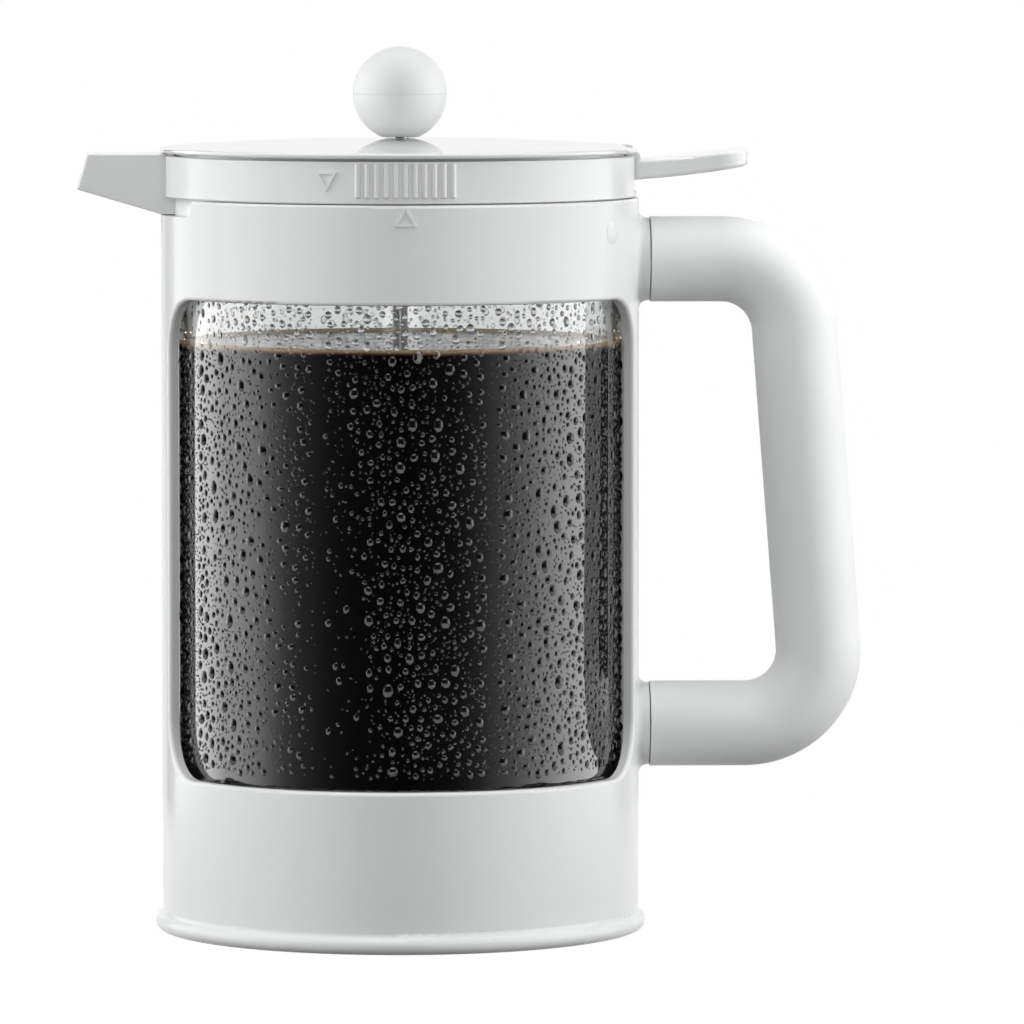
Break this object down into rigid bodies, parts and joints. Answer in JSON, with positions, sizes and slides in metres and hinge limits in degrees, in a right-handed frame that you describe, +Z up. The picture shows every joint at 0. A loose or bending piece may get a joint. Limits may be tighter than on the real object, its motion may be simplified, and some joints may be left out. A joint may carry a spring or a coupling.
{
  "type": "cold brew coffee press",
  "caption": "Glass beaker in a windowed frame with a D handle, twist-lock lid with spout and rocker lever, ball-knob plunger and spring-edged filter.",
  "frame": {"origin": "centre of the foot ring, on the beaker's axis, in the plane the pot stands on", "axes": "+Z up the beaker's axis, +X towards the handle, -X towards the spout, -Y towards the window and mark that face the user"},
  "size_m": [0.2021, 0.1266, 0.2274],
  "materials": {
    "gloss_white": "gloss",
    "satin_white": "satin",
    "core_plastic": "moulded",
    "clear_glass": "clear",
    "silicone": "matt",
    "steel": "brushed"
  },
  "bodies": {
    "frame": {"frame_shell": "gloss_white", "handle_core": "core_plastic", "handle_grip": "satin_white", "handle_screws": "steel", "bayonet_pins": "gloss_white"},
    "beaker": {"beaker": "clear_glass"},
    "seal": {"lid_seal": "silicone"},
    "lid": {"lid_body": "gloss_white", "lid_cover": "gloss_white", "rod_guide": "gloss_white", "lever_axle": "steel", "lever_spring": "steel"},
    "lever": {"pour_lever": "gloss_white", "port_stopper": "silicone"},
    "plunger": {"knob": "gloss_white", "knob_insert": "steel", "plunger_rod": "steel"},
    "filter": {"cross_plate": "steel", "filter_mesh": "steel", "spring_plate": "steel", "edge_coil": "steel", "filter_collar": "steel"}
  },
  "joints": [
    {"name": "beaker_lift", "type": "slide", "parent": "frame", "child": "beaker", "axis": [0, 0, 1], "range_m": [0, 0.2]},
    {"name": "lid_lift", "type": "slide", "parent": "beaker", "child": "seal", "axis": [0, 0, 1], "range_m": [0, 0.2]},
    {"name": "lid_twist", "type": "hinge", "parent": "seal", "child": "lid", "pos_m": [0, 0, 0.19], "axis": [0, 0, 1], "range_deg": [0, 19]},
    {"name": "lever_press", "type": "hinge", "parent": "lid", "child": "lever", "pos_m": [0.022, 0, 0.1934], "axis": [0, 1, 0], "range_deg": [0, 4], "stiffness_Nm_per_rad": 0.29, "springref_deg": -9.74, "deforming": ["lever_spring"]},
    {"name": "plunger_slide", "type": "slide", "parent": "lid", "child": "plunger", "axis": [0, 0, 1], "range_m": [0, 0.15]},
    {"name": "filter_turn", "type": "hinge", "parent": "plunger", "child": "filter", "pos_m": [0, 0, 0.012], "axis": [0, 0, 1], "continuous": true}
  ]
}
